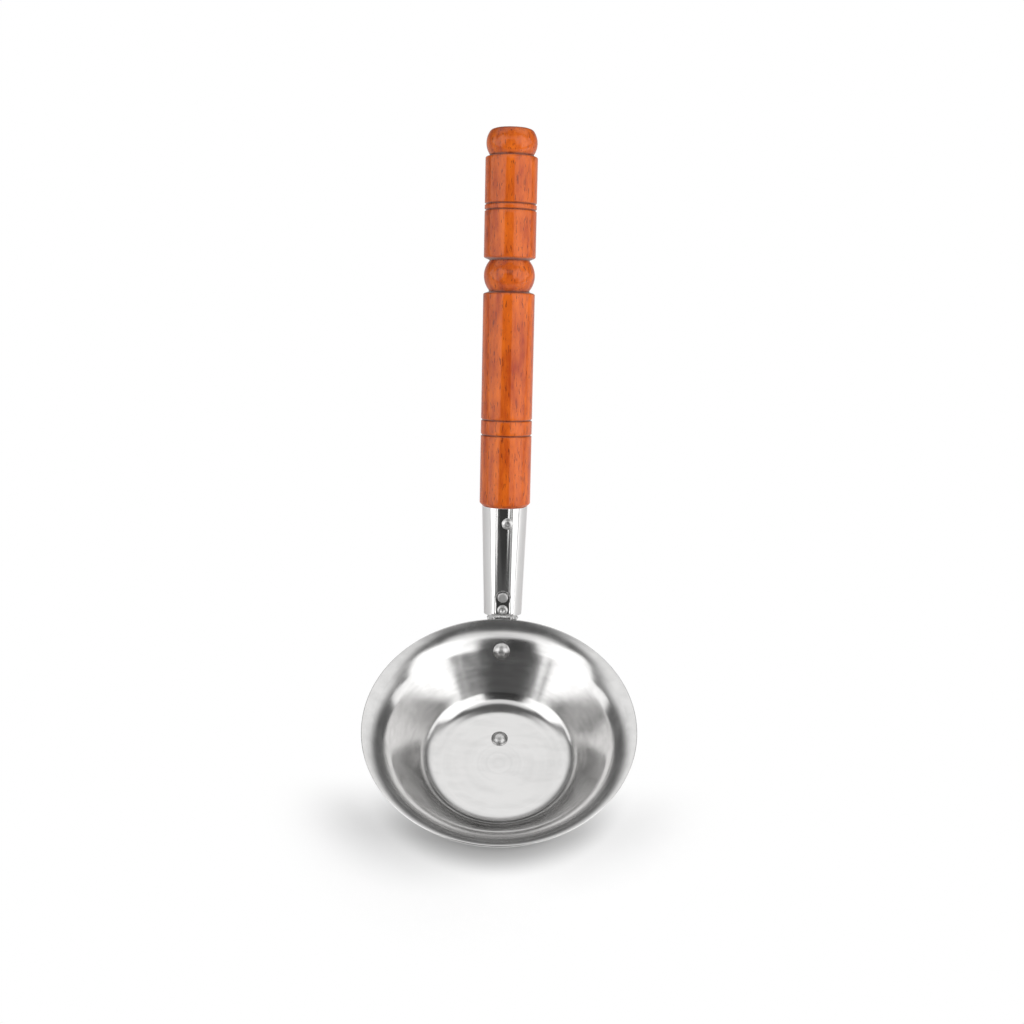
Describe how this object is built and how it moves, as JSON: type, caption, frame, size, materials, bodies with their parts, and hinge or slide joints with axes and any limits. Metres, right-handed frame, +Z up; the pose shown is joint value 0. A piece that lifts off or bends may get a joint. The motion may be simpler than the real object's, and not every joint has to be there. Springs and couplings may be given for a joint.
{
  "type": "soup ladle",
  "caption": "Soup ladle with a flared pressed-steel bowl, riveted to a bar in a tapered steel socket that holds a turned wooden handle.",
  "frame": {"origin": "on the bowl's axis, at the flat underside of the bar that carries the bowl, which is the lowest face", "axes": "+Z up along the bowl's axis out of its mouth; +Y toward the handle, which rises at 53.6 degrees; +X to the right for someone facing the handle"},
  "size_m": [0.14, 0.3112, 0.2475],
  "materials": {
    "brushed_bowl_steel": "brushed in rings, satin",
    "tang_steel": "satin",
    "polished_socket_steel": "polished",
    "lacquered_wood": "reddish orange, glossy lacquer",
    "rivet_steel": "satin",
    "weld_steel": "bright bead"
  },
  "bodies": {
    "root": {"bowl": "brushed_bowl_steel", "tang": "tang_steel", "socket": "polished_socket_steel", "wood_handle": "lacquered_wood", "wall_rivet": "rivet_steel", "floor_rivet": "rivet_steel", "upper_socket_rivet": "rivet_steel", "lower_socket_rivet": "rivet_steel", "socket_nail": "rivet_steel", "rim_tack_welds": "weld_steel"}
  },
  "joints": []
}
